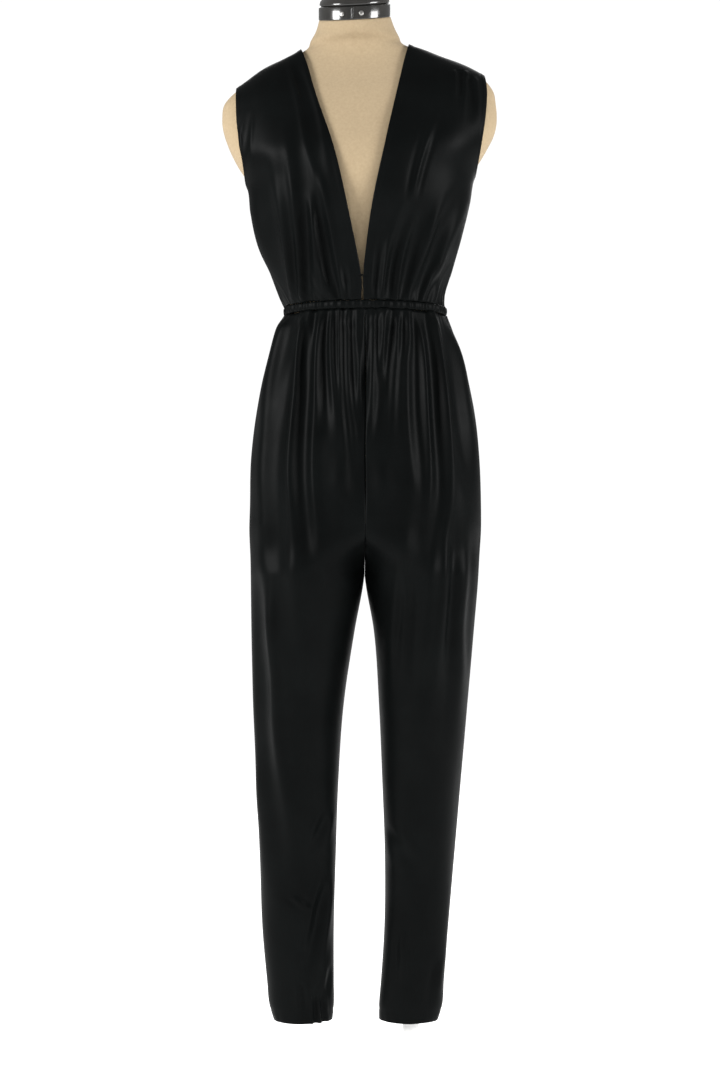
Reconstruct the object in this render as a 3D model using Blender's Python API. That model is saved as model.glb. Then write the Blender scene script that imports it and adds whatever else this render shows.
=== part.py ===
"""Sleeveless jumpsuit with a deep V neck, a gathered waist and tapered legs, on a limbless dress form.

The garment's front faces -Y, +X is the wearer's left, +Z is up and the floor is z = 0.
Sizes are in millimetres and are turned to metres where a mesh is made.
"""

import math
from collections import namedtuple

import bmesh
import bpy
import numpy as np

MM = 0.001

# Cloth
WALL = 2.0
SEAM_GAP = 0.3
ROOM_LEFT = 1.2

# Heights of the garment
HEM_HEIGHT = 150.0
CROTCH_HEIGHT = 832.0
CROTCH_CURVE_TOP = 912.0
CASING_LOW = 1231.0
CASING_HIGH = 1243.0
UNDERARM_HEIGHT = 1434.0
SHOULDER_TIP_HEIGHT = 1590.0
NECK_POINT_HEIGHT = 1645.0
BACK_NECK_HEIGHT = 1643.0

# The form stands a little uneven: one shoulder is higher and the neck leans forward
SHOULDER_TILT = 0.052
SHOULDER_TILT_FROM = 1240.0
SHOULDER_TILT_TO = 1440.0
NECK_TILT = 0.34
NECK_TILT_FROM = 1640.0
NECK_TILT_TO = 1688.0
NECK_AXIS_Y = 8.0

# Form and stand
FORM_BOTTOM = 912.0
NECK_TOP = 1692.0
BAND_HEIGHT = 20.0
BAND_PROUD = 1.2
CAP_GROOVE = 2.0
CAP_HEIGHT = 26.0
RIVET_RADIUS = 3.6
POLE_X = 79.0
POLE_RADIUS = 12.5
COLLAR_RADIUS = 32.0
COLLAR_HEIGHT = 14.0
BASE_RADIUS = 180.0
BASE_HEIGHT = 6.0
SOCKET_RADIUS = 24.0
SOCKET_HEIGHT = 38.0

# Horizontal sections of the garment's body: its two sides, its front and back, the line where
# it is widest, how square it is, and how far the form lies inside it.
Section = namedtuple("Section", "z left right front back mid square ease")
BODY = [
    Section(832, -167, 183, -104, 112, 0, 0.03, 20),
    Section(897, -169, 187, -112, 118, 0, 0.03, 16),
    Section(940, -168, 187, -113, 122, 0, 0.03, 13),
    Section(1017, -166, 184, -110, 118, 0, 0.02, 13),
    Section(1094, -156, 175, -102, 104, 0, 0.02, 13),
    Section(1171, -138, 156, -95, 91, 0, 0.01, 12),
    Section(1210, -126, 142, -93, 88, 0, 0.01, 11),
    Section(1237, -114, 132, -91, 86, 0, 0.00, 9),
    Section(1256, -122, 131, -94, 87, 0, 0.00, 9),
    Section(1302, -139, 144, -101, 91, 0, 0.00, 12),
    Section(1348, -156, 158, -112, 97, 0, 0.01, 13),
    Section(1394, -166, 170, -123, 101, 0, 0.01, 11),
    Section(1434, -172, 178, -125, 104, 0, 0.01, 7),
    Section(1474, -195, 201, -117, 105, 0, 0.02, 6),
    Section(1497, -206, 213, -107, 105, 0, 0.02, 6),
    Section(1545, -217, 216, -83, 100, 0, 0.02, 6),
    Section(1567, -213, 211, -71, 96, 0, 0.02, 6),
    Section(1589, -191, 192, -58, 90, 0, 0.02, 7),
    Section(1610, -159, 155, -48, 84, 0, 0.01, 8),
    Section(1631, -119, 109, -42, 78, 2, 0.00, 9),
    Section(1645, -91, 78, -43, 74, 4, 0.00, 9),
    Section(1660, -83, 69, -50, 74, 7, 0.00, 8),
    Section(1675, -75, 62, -54, 71, 8, 0.00, 8),
    Section(1692, -70, 56, -55, 71, 8, 0.00, 8),
]

# Sections of the legs: outer and inner side of each, front and back
Leg = namedtuple("Leg", "z outer_right inner_right inner_left outer_left front back")
LEGS = [
    Leg(150, -132, -41, 30, 121, -33, 35),
    Leg(170, -138, -39, 30, 127, -35, 38),
    Leg(208, -142, -39, 33, 130, -37, 42),
    Leg(286, -149, -39, 38, 136, -42, 52),
    Leg(401, -153, -36, 39, 146, -52, 66),
    Leg(516, -158, -32, 35, 156, -64, 80),
    Leg(632, -163, -24, 30, 166, -78, 92),
    Leg(747, -166, -7, 22, 176, -92, 104),
    Leg(832, -167, 8.0, 8.0, 183, -104, 112),
    Leg(940, -168, 9.5, 9.5, 187, -113, 122),
]

# Edge of the front opening and of the armholes, as seen from the front
Edge = namedtuple("Edge", "z right left")
NECK_EDGE = [
    Edge(1243, 3.2, 6.2),
    Edge(1278, 2.8, 5.8),
    Edge(1288, 1.4, 6.4),
    Edge(1328, -6.3, 10.8),
    Edge(1372, -15.6, 17.2),
    Edge(1464, -36.6, 36.4),
    Edge(1566, -67.4, 58.2),
    Edge(1615, -80, 69.0),
    Edge(1645, -90, 77.0),
]
ARMHOLE_EDGE = [
    Edge(1434, -172, 178),
    Edge(1476, -178, 185),
    Edge(1523, -185.5, 191),
    Edge(1565, -188, 193),
    Edge(1590, -189, 191),
]

# Folds: a soft trough, or a ridge where the depth is below zero, along a bent line from its
# strong end to its fading end. Rise is the share of its length over which it starts.
Fold = namedtuple("Fold", "x_start z_start x_bend x_end z_end width depth rise")
TROUSER_FRONT_FOLDS = [
    Fold(-101, 1231, -133, -141, 1017, 7, 4, 0),
    Fold(-97, 1231, -157, -93, 652, 11, 8, 0),
    Fold(-65, 1231, -104, -63, 784, 9, 8, 0),
    Fold(-47, 1231, -60, -42, 1025, 7, 6, 0),
    Fold(-10, 1231, -18, 2, 1025, 7, 4, 0),
    Fold(24, 1231, 34, 16, 1003, 7, 4, 0),
    Fold(50, 1231, 39, 28, 998, 7, 5, 0),
    Fold(4, 1040, 4, 6, 850, 15, 8, 0.4),
    Fold(83, 1231, 84, 99, 920, 10, 6, 0),
    Fold(99, 960, 90, 57, 582, 15, 8, 0.3),
    Fold(96, 1231, 134, 108, 813, 8, 8, 0),
    Fold(128, 1231, 151, 169, 916, 9, 6, 0),
    Fold(-152, 850, -161, -103, 331, 11, 8, 0.2),
    Fold(-44, 385, -65, -86, 214, 9, 6, 0.3),
    Fold(127, 930, 123, 113, 650, 9, -4, 0.3),
    Fold(156, 916, 152, 145, 579, 9, -4, 0.3),
]
TROUSER_BACK_FOLDS = [
    Fold(-95, 1231, -132, -148, 980, 9, 6, 0),
    Fold(-70, 1231, -98, -104, 760, 10, 7, 0),
    Fold(-44, 1231, -62, -66, 1010, 8, 5, 0),
    Fold(-16, 1231, -24, -30, 1050, 7, 4, 0),
    Fold(14, 1231, 22, 20, 990, 8, 5, 0),
    Fold(44, 1231, 60, 78, 1030, 8, 6, 0),
    Fold(72, 1231, 104, 96, 700, 11, 8, 0),
    Fold(104, 1231, 142, 158, 960, 9, 6, 0),
    Fold(8, 1010, 8, 9, 850, 15, 7, 0.4),
    Fold(-132, 800, -140, -96, 420, 12, 7, 0.3),
    Fold(136, 820, 142, 100, 380, 12, 7, 0.3),
]
BODICE_FRONT_FOLDS = [
    Fold(-111, 1243, -140, -150, 1483, 10, 8, 0),
    Fold(-75, 1243, -80, -94, 1508, 8, 8, 0),
    Fold(-30, 1243, -60, -86, 1480, 8, 7, 0),
    Fold(-98, 1622, -69, -56, 1405, 8, 4, 0.3),
    Fold(44, 1243, 50, 79, 1386, 8, 7, 0),
    Fold(62, 1243, 80, 99, 1389, 12, 7, 0),
    Fold(82, 1243, 115, 151, 1415, 9, 8, 0),
    Fold(119, 1243, 131, 146, 1326, 8, 6, 0),
]
BODICE_BACK_FOLDS = [
    Fold(-96, 1243, -118, -132, 1400, 9, 6, 0),
    Fold(-62, 1243, -76, -84, 1440, 9, 6, 0),
    Fold(-28, 1243, -36, -40, 1360, 8, 5, 0),
    Fold(10, 1243, 8, 14, 1380, 8, 4, 0),
    Fold(42, 1243, 56, 62, 1450, 9, 6, 0),
    Fold(76, 1243, 92, 108, 1380, 9, 6, 0),
    Fold(108, 1243, 126, 138, 1330, 9, 5, 0),
]

# Finish of each kind of piece: colour, roughness and metallic value
FINISHES = {
    "cloth": ((0.008, 0.009, 0.010, 1.0), 0.5, 0.0),
    "linen": ((0.62, 0.55, 0.46, 1.0), 0.85, 0.0),
    "cap": ((0.02, 0.02, 0.02, 1.0), 0.2, 0.6),
    "rivet": ((0.45, 0.45, 0.44, 1.0), 0.3, 1.0),
    "stand": ((0.82, 0.82, 0.81, 1.0), 0.35, 0.0),
}


def smooth_step(low, high, value):
    """Ease from 0 at low to 1 at high."""
    share = np.clip((value - low) / (high - low), 0.0, 1.0)
    return share * share * (3.0 - 2.0 * share)


def read_table(rows, column, height):
    """Read a column of a table at any height, on a smooth curve through its rows."""
    knots = np.array([row.z for row in rows], dtype=float)
    values = np.array([getattr(row, column) for row in rows], dtype=float)
    slopes = np.gradient(values, knots)
    height = np.clip(height, knots[0], knots[-1])
    low = np.clip(np.searchsorted(knots, height) - 1, 0, len(knots) - 2)
    span = knots[low + 1] - knots[low]
    t = (height - knots[low]) / span
    start = values[low] * (1 + 2 * t) * (1 - t) ** 2
    end = values[low + 1] * t ** 2 * (3 - 2 * t)
    bend = span * (slopes[low] * t * (1 - t) ** 2 - slopes[low + 1] * t ** 2 * (1 - t))
    return start + end + bend


def body_point(turn, height, inset=0.0):
    """Point of the body's section at a turn: 0 is the front, a quarter is the wearer's left."""
    left = read_table(BODY, "left", height) + inset
    right = read_table(BODY, "right", height) - inset
    mid = read_table(BODY, "mid", height)
    front = mid - read_table(BODY, "front", height) - inset
    back = read_table(BODY, "back", height) - mid - inset
    square = read_table(BODY, "square", height)
    across = (np.sin(turn) + square * np.sin(3 * turn)) / (1 - square)
    ahead = (np.cos(turn) - square * np.cos(3 * turn)) / (1 - square)
    x = (left + right) / 2 + (right - left) / 2 * across
    y = mid - np.where(ahead > 0, front, back) * ahead
    return np.stack([x, y, height + 0.0 * x], axis=-1)


def lean(points):
    """Raise one shoulder and lean the neck forward, as the form stands."""
    x, y, z = points[..., 0], points[..., 1], points[..., 2]
    shoulder = SHOULDER_TILT * x * smooth_step(SHOULDER_TILT_FROM, SHOULDER_TILT_TO, z)
    neck = NECK_TILT * (y - NECK_AXIS_Y) * smooth_step(NECK_TILT_FROM, NECK_TILT_TO, z)
    return np.stack([x, y, z + shoulder + neck], axis=-1)


def unit(vectors):
    """Vectors of length one."""
    return vectors / np.linalg.norm(vectors, axis=-1, keepdims=True)


def body_normal(turn, height):
    """Direction that points out of the body's surface."""
    step_turn = 0.002
    step_height = 0.5
    round_way = body_point(turn + step_turn, height) - body_point(turn - step_turn, height)
    up_way = body_point(turn, height + step_height) - body_point(turn, height - step_height)
    return unit(np.cross(round_way, up_way))


def turn_at(x, height):
    """Turn from the front centre at which the body's section reaches x."""
    quarter = np.linspace(-math.pi / 2, math.pi / 2, 181)
    return np.interp(x, body_point(quarter, np.full(quarter.shape, float(height)))[:, 0], quarter)


def relief(folds, points):
    """How far the folds move each point in or out."""
    x, z = points[..., 0], points[..., 2]
    total = np.zeros(x.shape)
    for fold in folds:
        along = (z - fold.z_start) / (fold.z_end - fold.z_start)
        t = np.clip(along, 0.0, 1.0)
        line = (1 - t) ** 2 * fold.x_start + 2 * t * (1 - t) * fold.x_bend + t ** 2 * fold.x_end
        off = (x - line) / fold.width
        groove = np.exp(-off ** 2) - 0.45 * np.exp(-(np.abs(off) - 1.9) ** 2 * 1.6)
        fade = 1.0 - smooth_step(0.45, 1.05, along)
        start = smooth_step(-0.02, fold.rise, along) if fold.rise else along >= -0.01
        total -= fold.depth * groove * fade * start
    return total


def folded(points, normals, folds, seam_share):
    """Move points along their normals by the folds, with room left to the form."""
    height = points[..., 2]
    room = read_table(BODY, "ease", height) - WALL - ROOM_LEFT
    depth = relief(folds, points) * seam_share
    depth = np.where(depth < 0, -room * (1 - np.exp(depth / room)), depth)
    return points + normals * depth[..., None]


def coons(bottom, top, inner, outer):
    """Fill a four-sided patch from its edges: bottom and top have one length, the sides another."""
    s = np.linspace(0, 1, len(bottom))[None, :, None]
    t = (1 - np.linspace(1, 0, len(inner)) ** 1.5)[:, None, None]
    ruled = (1 - t) * bottom[None] + t * top[None] + (1 - s) * inner[:, None] + s * outer[:, None]
    corners = (1 - s) * (1 - t) * bottom[0] + s * (1 - t) * bottom[-1]
    corners = corners + (1 - s) * t * top[0] + s * t * top[-1]
    return ruled - corners


def bodice_heights(top, rows):
    """Heights of the rows of a bodice panel, closer together towards the shoulder."""
    low = CASING_HIGH + SEAM_GAP
    return low + (top - low) * (1 - np.linspace(1, 0, rows) ** 1.5)


def side_edge(side, rows, facing):
    """Side seam and armhole of a bodice panel, as pairs of turn and height."""
    height = bodice_heights(SHOULDER_TIP_HEIGHT, rows)
    column = "left" if side > 0 else "right"
    turns = []
    for z in height:
        quarter = math.pi / 2
        if UNDERARM_HEIGHT < z < SHOULDER_TIP_HEIGHT:
            quarter = side * turn_at(read_table(ARMHOLE_EDGE, column, z), z)
        turns.append(side * quarter if facing == "front" else side * (math.pi - quarter))
    return np.stack([np.array(turns), height], axis=-1)


def bodice_front_patch(side, columns, rows):
    """Turn and height of the points of a front bodice panel."""
    column = "left" if side > 0 else "right"
    height = bodice_heights(NECK_POINT_HEIGHT, rows)
    edge = [turn_at(read_table(NECK_EDGE, column, z), z) for z in height]
    edge[-1] = side * math.pi / 2
    inner = np.stack([np.array(edge), height], axis=-1)
    outer = side_edge(side, rows, "front")
    share = np.linspace(0, 1, columns)[:, None]
    bottom = inner[0] + (outer[0] - inner[0]) * share
    top = inner[-1] + (outer[-1] - inner[-1]) * share
    return coons(bottom, top, inner, outer)


def bodice_back_patch(columns, rows):
    """Turn and height of the points of the back bodice panel, from wearer's right to left."""
    inner = side_edge(-1, rows, "back")
    inner[:, 0] = inner[:, 0] + 2 * math.pi
    outer = side_edge(1, rows, "back")
    share = np.linspace(0, 1, columns)
    bottom = inner[0] + (outer[0] - inner[0]) * share[:, None]
    across = np.interp(share, [0, 0.28, 0.72, 1], [inner[0, 0], inner[0, 0], outer[0, 0], outer[0, 0]])
    seam = np.interp(share, [0, 0.28, 0.72, 1], [0, 1, 1, 0])
    scoop = np.sin(math.pi * np.clip((share - 0.28) / 0.44, 0, 1))
    top_height = SHOULDER_TIP_HEIGHT + (NECK_POINT_HEIGHT - SHOULDER_TIP_HEIGHT) * seam
    top_height = top_height + (BACK_NECK_HEIGHT - NECK_POINT_HEIGHT) * scoop
    top = np.stack([across, top_height], axis=-1)
    return coons(bottom, top, inner, outer)


def bodice_walls(patch, folds, facing):
    """Outer and inner points of a bodice panel."""
    turn, height = patch[..., 0], patch[..., 1]
    base = body_point(turn, height)
    normals = body_normal(turn, height)
    seam_share = smooth_step(0.0, 0.18, np.abs(np.cos(turn)))
    outside = folded(base, normals, folds, seam_share)
    inside = outside - normals * WALL
    shift = np.array([0.0, -SEAM_GAP / 2 if facing == "front" else SEAM_GAP / 2, 0.0])
    return lean(outside + shift), lean(inside + shift)


def trouser_point(side, facing, share, height):
    """Point of a trouser panel: share runs from the side seam, 0, to the centre or inseam, 1."""
    name = "left" if side > 0 else "right"
    outer = read_table(LEGS, "outer_" + name, height)
    inner = read_table(LEGS, "inner_" + name, height)
    hip = np.maximum(height, CROTCH_HEIGHT)
    centre = body_point(np.zeros(hip.shape), hip)[..., 0]
    inner = np.where(height > CROTCH_HEIGHT, centre, inner)
    leg_x = outer + (inner - outer) * (1 - np.cos(math.pi * share)) / 2
    body_x = body_point(side * math.pi / 2 * (1 - share), hip)[..., 0]
    depth = np.where(height > CROTCH_HEIGHT, read_table(BODY, facing, hip), read_table(LEGS, facing, height))
    square = read_table(BODY, "square", hip)
    under = 1 - smooth_step(CROTCH_HEIGHT, CROTCH_CURVE_TOP, height)
    peak = 1 - 0.5 * under
    past_peak = under * (share - peak) / np.maximum(1 - peak, 0.001)
    rise = np.where(share > peak, 1 - past_peak, share / peak) * math.pi / 2
    x = body_x * (1 - under) + leg_x * under
    y = depth * (np.sin(rise) + square * (1 - under) * np.sin(3 * rise)) / (1 - square * (1 - under))
    return np.stack([x, y, height + 0.0 * x], axis=-1)


def trouser_walls(side, facing, columns, heights, folds):
    """Outer and inner points of a trouser panel."""
    share, height = np.meshgrid(np.linspace(0, 1, columns), np.array(heights, dtype=float))
    base = trouser_point(side, facing, share, height)
    step = 0.002
    across = trouser_point(side, facing, share + step, height)
    across = across - trouser_point(side, facing, share - step, height)
    down = trouser_point(side, facing, share, height - 1) - trouser_point(side, facing, share, height + 1)
    normals = unit(np.cross(across, down))
    normals = normals * (side if facing == "front" else -side)
    seam_share = smooth_step(0.0, 0.10, share) * (1 - smooth_step(0.80, 1.0, share))
    above = smooth_step(CROTCH_CURVE_TOP, CROTCH_CURVE_TOP + 60, height)
    seam_share = np.maximum(seam_share, above * smooth_step(0.0, 0.10, share))
    outside = folded(base, normals, folds, seam_share)
    inside = outside - normals * WALL
    shift = np.array([side, -1.0 if facing == "front" else 1.0, 0.0]) * SEAM_GAP / 2
    return outside + shift, inside + shift


def trouser_heights(above, below):
    """Heights of the rows of a trouser panel, closest round the crotch."""
    high = np.linspace(CASING_LOW - SEAM_GAP, CROTCH_CURVE_TOP, above)
    crotch = np.linspace(CROTCH_CURVE_TOP, CROTCH_HEIGHT - 12, 7)[1:]
    low = np.linspace(CROTCH_HEIGHT - 12, HEM_HEIGHT, below)[1:]
    return np.concatenate([high, crotch, low])


def finish(name, colour, roughness, metallic):
    """Plain material of one piece."""
    material = bpy.data.materials.new(name)
    material.use_nodes = True
    shader = material.node_tree.nodes["Principled BSDF"]
    shader.inputs["Base Color"].default_value = colour
    shader.inputs["Roughness"].default_value = roughness
    shader.inputs["Metallic"].default_value = metallic
    return material


def add_piece(name, mesh_builder, kind):
    """Make one named object from a bmesh, with its own material."""
    mesh = bpy.data.meshes.new(name)
    bmesh.ops.recalc_face_normals(mesh_builder, faces=mesh_builder.faces)
    mesh_builder.to_mesh(mesh)
    mesh_builder.free()
    mesh.shade_smooth()
    piece = bpy.data.objects.new(name, mesh)
    bpy.context.collection.objects.link(piece)
    mesh.materials.append(finish(name, *FINISHES[kind]))
    return piece


def add_vertices(mesh_builder, points):
    """Add an array of points in millimetres, and give back their vertices in rows."""
    return [[mesh_builder.verts.new((x * MM, y * MM, z * MM)) for x, y, z in row] for row in points]


def skin(mesh_builder, first, second):
    """Faces between two equally long runs of vertices."""
    for start in range(len(first) - 1):
        corners = (first[start], first[start + 1], second[start + 1], second[start])
        mesh_builder.faces.new(corners)


def wall_piece(name, outside, inside, kind="cloth"):
    """A closed wall between an outer and an inner grid of points."""
    mesh_builder = bmesh.new()
    outer = add_vertices(mesh_builder, outside)
    inner = add_vertices(mesh_builder, inside)
    for grid in (outer, inner):
        for low, high in zip(grid[:-1], grid[1:]):
            skin(mesh_builder, low, high)
    skin(mesh_builder, outer[0], inner[0])
    skin(mesh_builder, outer[-1], inner[-1])
    skin(mesh_builder, [row[0] for row in outer], [row[0] for row in inner])
    skin(mesh_builder, [row[-1] for row in outer], [row[-1] for row in inner])
    return add_piece(name, mesh_builder, kind)


def ring_stack(name, rings, kind, closed_ends=True):
    """A closed solid through rings of points; without closed ends the stack joins up with itself."""
    mesh_builder = bmesh.new()
    rows = add_vertices(mesh_builder, rings)
    pairs = list(zip(rows[:-1], rows[1:]))
    if not closed_ends:
        pairs.append((rows[-1], rows[0]))
    for low, high in pairs:
        skin(mesh_builder, low + low[:1], high + high[:1])
    if closed_ends:
        mesh_builder.faces.new(rows[0])
        mesh_builder.faces.new(rows[-1])
    return add_piece(name, mesh_builder, kind)


def build_jumpsuit():
    """Every sewn piece of the garment."""
    for side, word in ((-1, "right"), (1, "left")):
        patch = bodice_front_patch(side, 14, 19)
        wall_piece("bodice_front_" + word, *bodice_walls(patch, BODICE_FRONT_FOLDS, "front"))
    patch = bodice_back_patch(24, 16)
    wall_piece("bodice_back", *bodice_walls(patch, BODICE_BACK_FOLDS, "back"))
    for side, word in ((-1, "right"), (1, "left")):
        for facing, folds, columns in (("front", TROUSER_FRONT_FOLDS, 16), ("back", TROUSER_BACK_FOLDS, 12)):
            heights = trouser_heights(8, 9)
            walls = trouser_walls(side, facing, columns, heights, folds)
            wall_piece("trouser_" + facing + "_" + word, *walls)
    build_casing()


def build_casing():
    """The gathered casing of the elastic, a narrow ring round the waist."""
    turn = np.linspace(0, 2 * math.pi, 48, endpoint=False)
    profile = [(0.0, CASING_LOW), (1.5, CASING_LOW + 2.5), (1.5, CASING_HIGH - 2.5), (0.0, CASING_HIGH)]
    middle = np.full(turn.shape, (CASING_LOW + CASING_HIGH) / 2)
    rings = []
    for out, height in profile + [(-WALL, CASING_HIGH), (-WALL, CASING_LOW)]:
        ring = body_point(turn, middle, -out)
        ring[:, 2] = height
        rings.append(ring)
    ring_stack("waist_casing", rings, "cloth", closed_ends=False)


def form_ring(height, inset_more=0.0, segments=36):
    """One ring of the form's surface, which lies inside the garment by its ease."""
    turn = np.linspace(0, 2 * math.pi, segments, endpoint=False)
    level = np.full(turn.shape, float(height))
    return lean(body_point(turn, level, read_table(BODY, "ease", float(height)) + inset_more))


def build_form():
    """The limbless form from its flat underside to the top of its neck."""
    rings = [form_ring(FORM_BOTTOM, 10.0)]
    rings[0][:, 2] = FORM_BOTTOM
    heights = [920, 950, 1000, 1050, 1100, 1150, 1195, 1237, 1280, 1320, 1360, 1400, 1430]
    heights += [1457, 1484, 1512, 1540, 1562, 1580, 1596, 1610, 1622, 1633, 1644, 1660]
    rings += [form_ring(height) for height in heights]
    rings.append(form_ring(NECK_TOP))
    ring_stack("dress_form", rings, "linen")


def neck_ring(rise, proud):
    """A ring over the neck's top, raised along the leaning neck and wider by proud."""
    ring = form_ring(NECK_TOP, -proud)
    ring[:, 2] = ring[:, 2] + rise
    return ring


def build_neck_cap():
    """The metal band round the neck's top, the low dome over it and the band's two rivets."""
    low = SEAM_GAP
    high = low + BAND_HEIGHT
    band = [(low, 0.0), (low + 1.0, BAND_PROUD), (high - 1.0, BAND_PROUD), (high, 0.0)]
    ring_stack("neck_band", [neck_ring(rise, proud) for rise, proud in band], "cap")
    base = high + SEAM_GAP
    steps = np.linspace(0, 1, 7)
    dome = [(base, -CAP_GROOVE), (base + 1.5, -CAP_GROOVE), (base + 2.5, 0.0)]
    radius = 52.0
    for step in steps[:-1]:
        rise = base + 2.5 + (CAP_HEIGHT - 2.5) * math.sin(math.pi / 2 * step)
        dome.append((rise + 1.0, -radius * (1 - math.cos(math.pi / 2 * step))))
    ring_stack("neck_cap", [neck_ring(rise, proud) for rise, proud in dome], "cap")
    for number, x in enumerate((-28.0, 4.0)):
        build_rivet("band_rivet_" + str(number + 1), x, low + BAND_HEIGHT * 0.45)


def build_rivet(name, x, rise):
    """A round rivet head on the front of the neck band."""
    turn = turn_at(x, NECK_TOP)
    ease = read_table(BODY, "ease", NECK_TOP) - BAND_PROUD
    point = lean(body_point(np.array([turn]), np.array([NECK_TOP]), ease))[0]
    centre = point + np.array([0.0, 0.0, rise])
    outward = body_normal(np.array([turn]), np.array([NECK_TOP]))[0]
    outward[2] = 0.0
    outward = outward / np.linalg.norm(outward)
    across = np.array([-outward[1], outward[0], 0.0])
    upward = np.array([0.0, 0.0, 1.0])
    rings = []
    for lift, radius in ((0.9, 1.0), (1.6, 1.0), (2.2, 0.75), (2.5, 0.4)):
        ring = []
        for step in range(16):
            angle = 2 * math.pi * step / 16
            spoke = across * math.cos(angle) + upward * math.sin(angle)
            ring.append(centre + outward * lift + spoke * radius * RIVET_RADIUS)
        rings.append(np.array(ring))
    ring_stack(name, rings, "rivet")


def turned_piece(name, x, outline, kind, segments=40):
    """A closed solid turned about a vertical axis, from pairs of radius and height."""
    turn = np.linspace(0, 2 * math.pi, segments, endpoint=False)
    rings = []
    for radius, height in outline:
        ring = [x + radius * np.cos(turn), radius * np.sin(turn), np.full(turn.shape, height)]
        rings.append(np.stack(ring, axis=-1))
    ring_stack(name, rings, kind)


def build_stand():
    """The base plate, the pole inside one trouser leg, its socket and the form's collar."""
    base = [(BASE_RADIUS - 1, 0.0), (BASE_RADIUS, 1.0), (BASE_RADIUS, 4.0), (BASE_RADIUS - 2, BASE_HEIGHT)]
    turned_piece("stand_base", 0.0, base, "stand", 64)
    socket_low = BASE_HEIGHT + SEAM_GAP
    socket_high = BASE_HEIGHT + SOCKET_HEIGHT
    socket = [(SOCKET_RADIUS, socket_low), (SOCKET_RADIUS, socket_high - 6), (SOCKET_RADIUS - 5, socket_high)]
    turned_piece("pole_socket", POLE_X, socket, "stand")
    collar_high = FORM_BOTTOM - SEAM_GAP
    collar_low = collar_high - COLLAR_HEIGHT
    pole = [(POLE_RADIUS, socket_high + SEAM_GAP), (POLE_RADIUS, collar_low - SEAM_GAP)]
    turned_piece("stand_pole", POLE_X, pole, "stand", 24)
    collar = [(POLE_RADIUS + 5, collar_low), (COLLAR_RADIUS, collar_high - 4), (COLLAR_RADIUS, collar_high)]
    turned_piece("form_collar", POLE_X, collar, "stand")


def main():
    """Clear the scene and build the jumpsuit, its form and its stand."""
    for thing in list(bpy.data.objects):
        bpy.data.objects.remove(thing, do_unlink=True)
    build_jumpsuit()
    build_form()
    build_neck_cap()
    build_stand()


main()
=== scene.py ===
"""Looks of a black sleeveless jumpsuit on a linen-covered dress form.

Sizes are in millimetres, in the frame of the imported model, and become metres where a mesh is made.
"""

import logging
import math
from dataclasses import dataclass
from enum import Enum

import bpy
import numpy as np
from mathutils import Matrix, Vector

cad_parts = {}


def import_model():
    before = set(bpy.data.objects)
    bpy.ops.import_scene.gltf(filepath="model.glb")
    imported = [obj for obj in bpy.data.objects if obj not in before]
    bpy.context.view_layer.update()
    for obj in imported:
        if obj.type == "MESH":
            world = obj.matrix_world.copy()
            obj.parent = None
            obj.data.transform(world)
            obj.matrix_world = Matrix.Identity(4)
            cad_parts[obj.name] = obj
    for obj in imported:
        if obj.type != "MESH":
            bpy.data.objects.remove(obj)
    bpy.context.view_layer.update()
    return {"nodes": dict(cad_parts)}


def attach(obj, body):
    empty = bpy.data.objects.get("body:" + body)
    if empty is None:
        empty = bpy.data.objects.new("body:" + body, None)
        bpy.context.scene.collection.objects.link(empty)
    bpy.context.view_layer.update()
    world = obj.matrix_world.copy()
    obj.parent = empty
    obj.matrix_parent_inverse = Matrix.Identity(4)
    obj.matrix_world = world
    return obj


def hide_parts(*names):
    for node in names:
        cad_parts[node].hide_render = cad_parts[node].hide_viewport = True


LOG = logging.getLogger("jumpsuit")
MM = 0.001
Array = np.ndarray


class Facing(Enum):
    """Which half of the garment a panel belongs to."""

    FRONT = "front"
    BACK = "back"


class Side(Enum):
    """The wearer's side, with its sign along X."""

    RIGHT = -1
    LEFT = 1

    @property
    def word(self) -> str:
        """Name of the side in the pieces' names."""
        return self.name.lower()


@dataclass(frozen=True)
class Section:
    """One horizontal section of the body: its sides, front, back, widest line and squareness."""

    z: float
    left: float
    right: float
    front: float
    back: float
    mid: float
    square: float
    ease: float


@dataclass(frozen=True)
class Leg:
    """One horizontal section of both trouser legs."""

    z: float
    outer_right: float
    inner_right: float
    inner_left: float
    outer_left: float
    front: float
    back: float


@dataclass(frozen=True)
class Edge:
    """Place of a free edge on the wearer's right and left at one height."""

    z: float
    right: float
    left: float


@dataclass(frozen=True)
class Fold:
    """A soft trough, or a ridge where depth is below zero, from its strong end to its fading end."""

    x_start: float
    z_start: float
    x_bend: float
    x_end: float
    z_end: float
    width: float
    depth: float
    rise: float = 0.0


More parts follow.
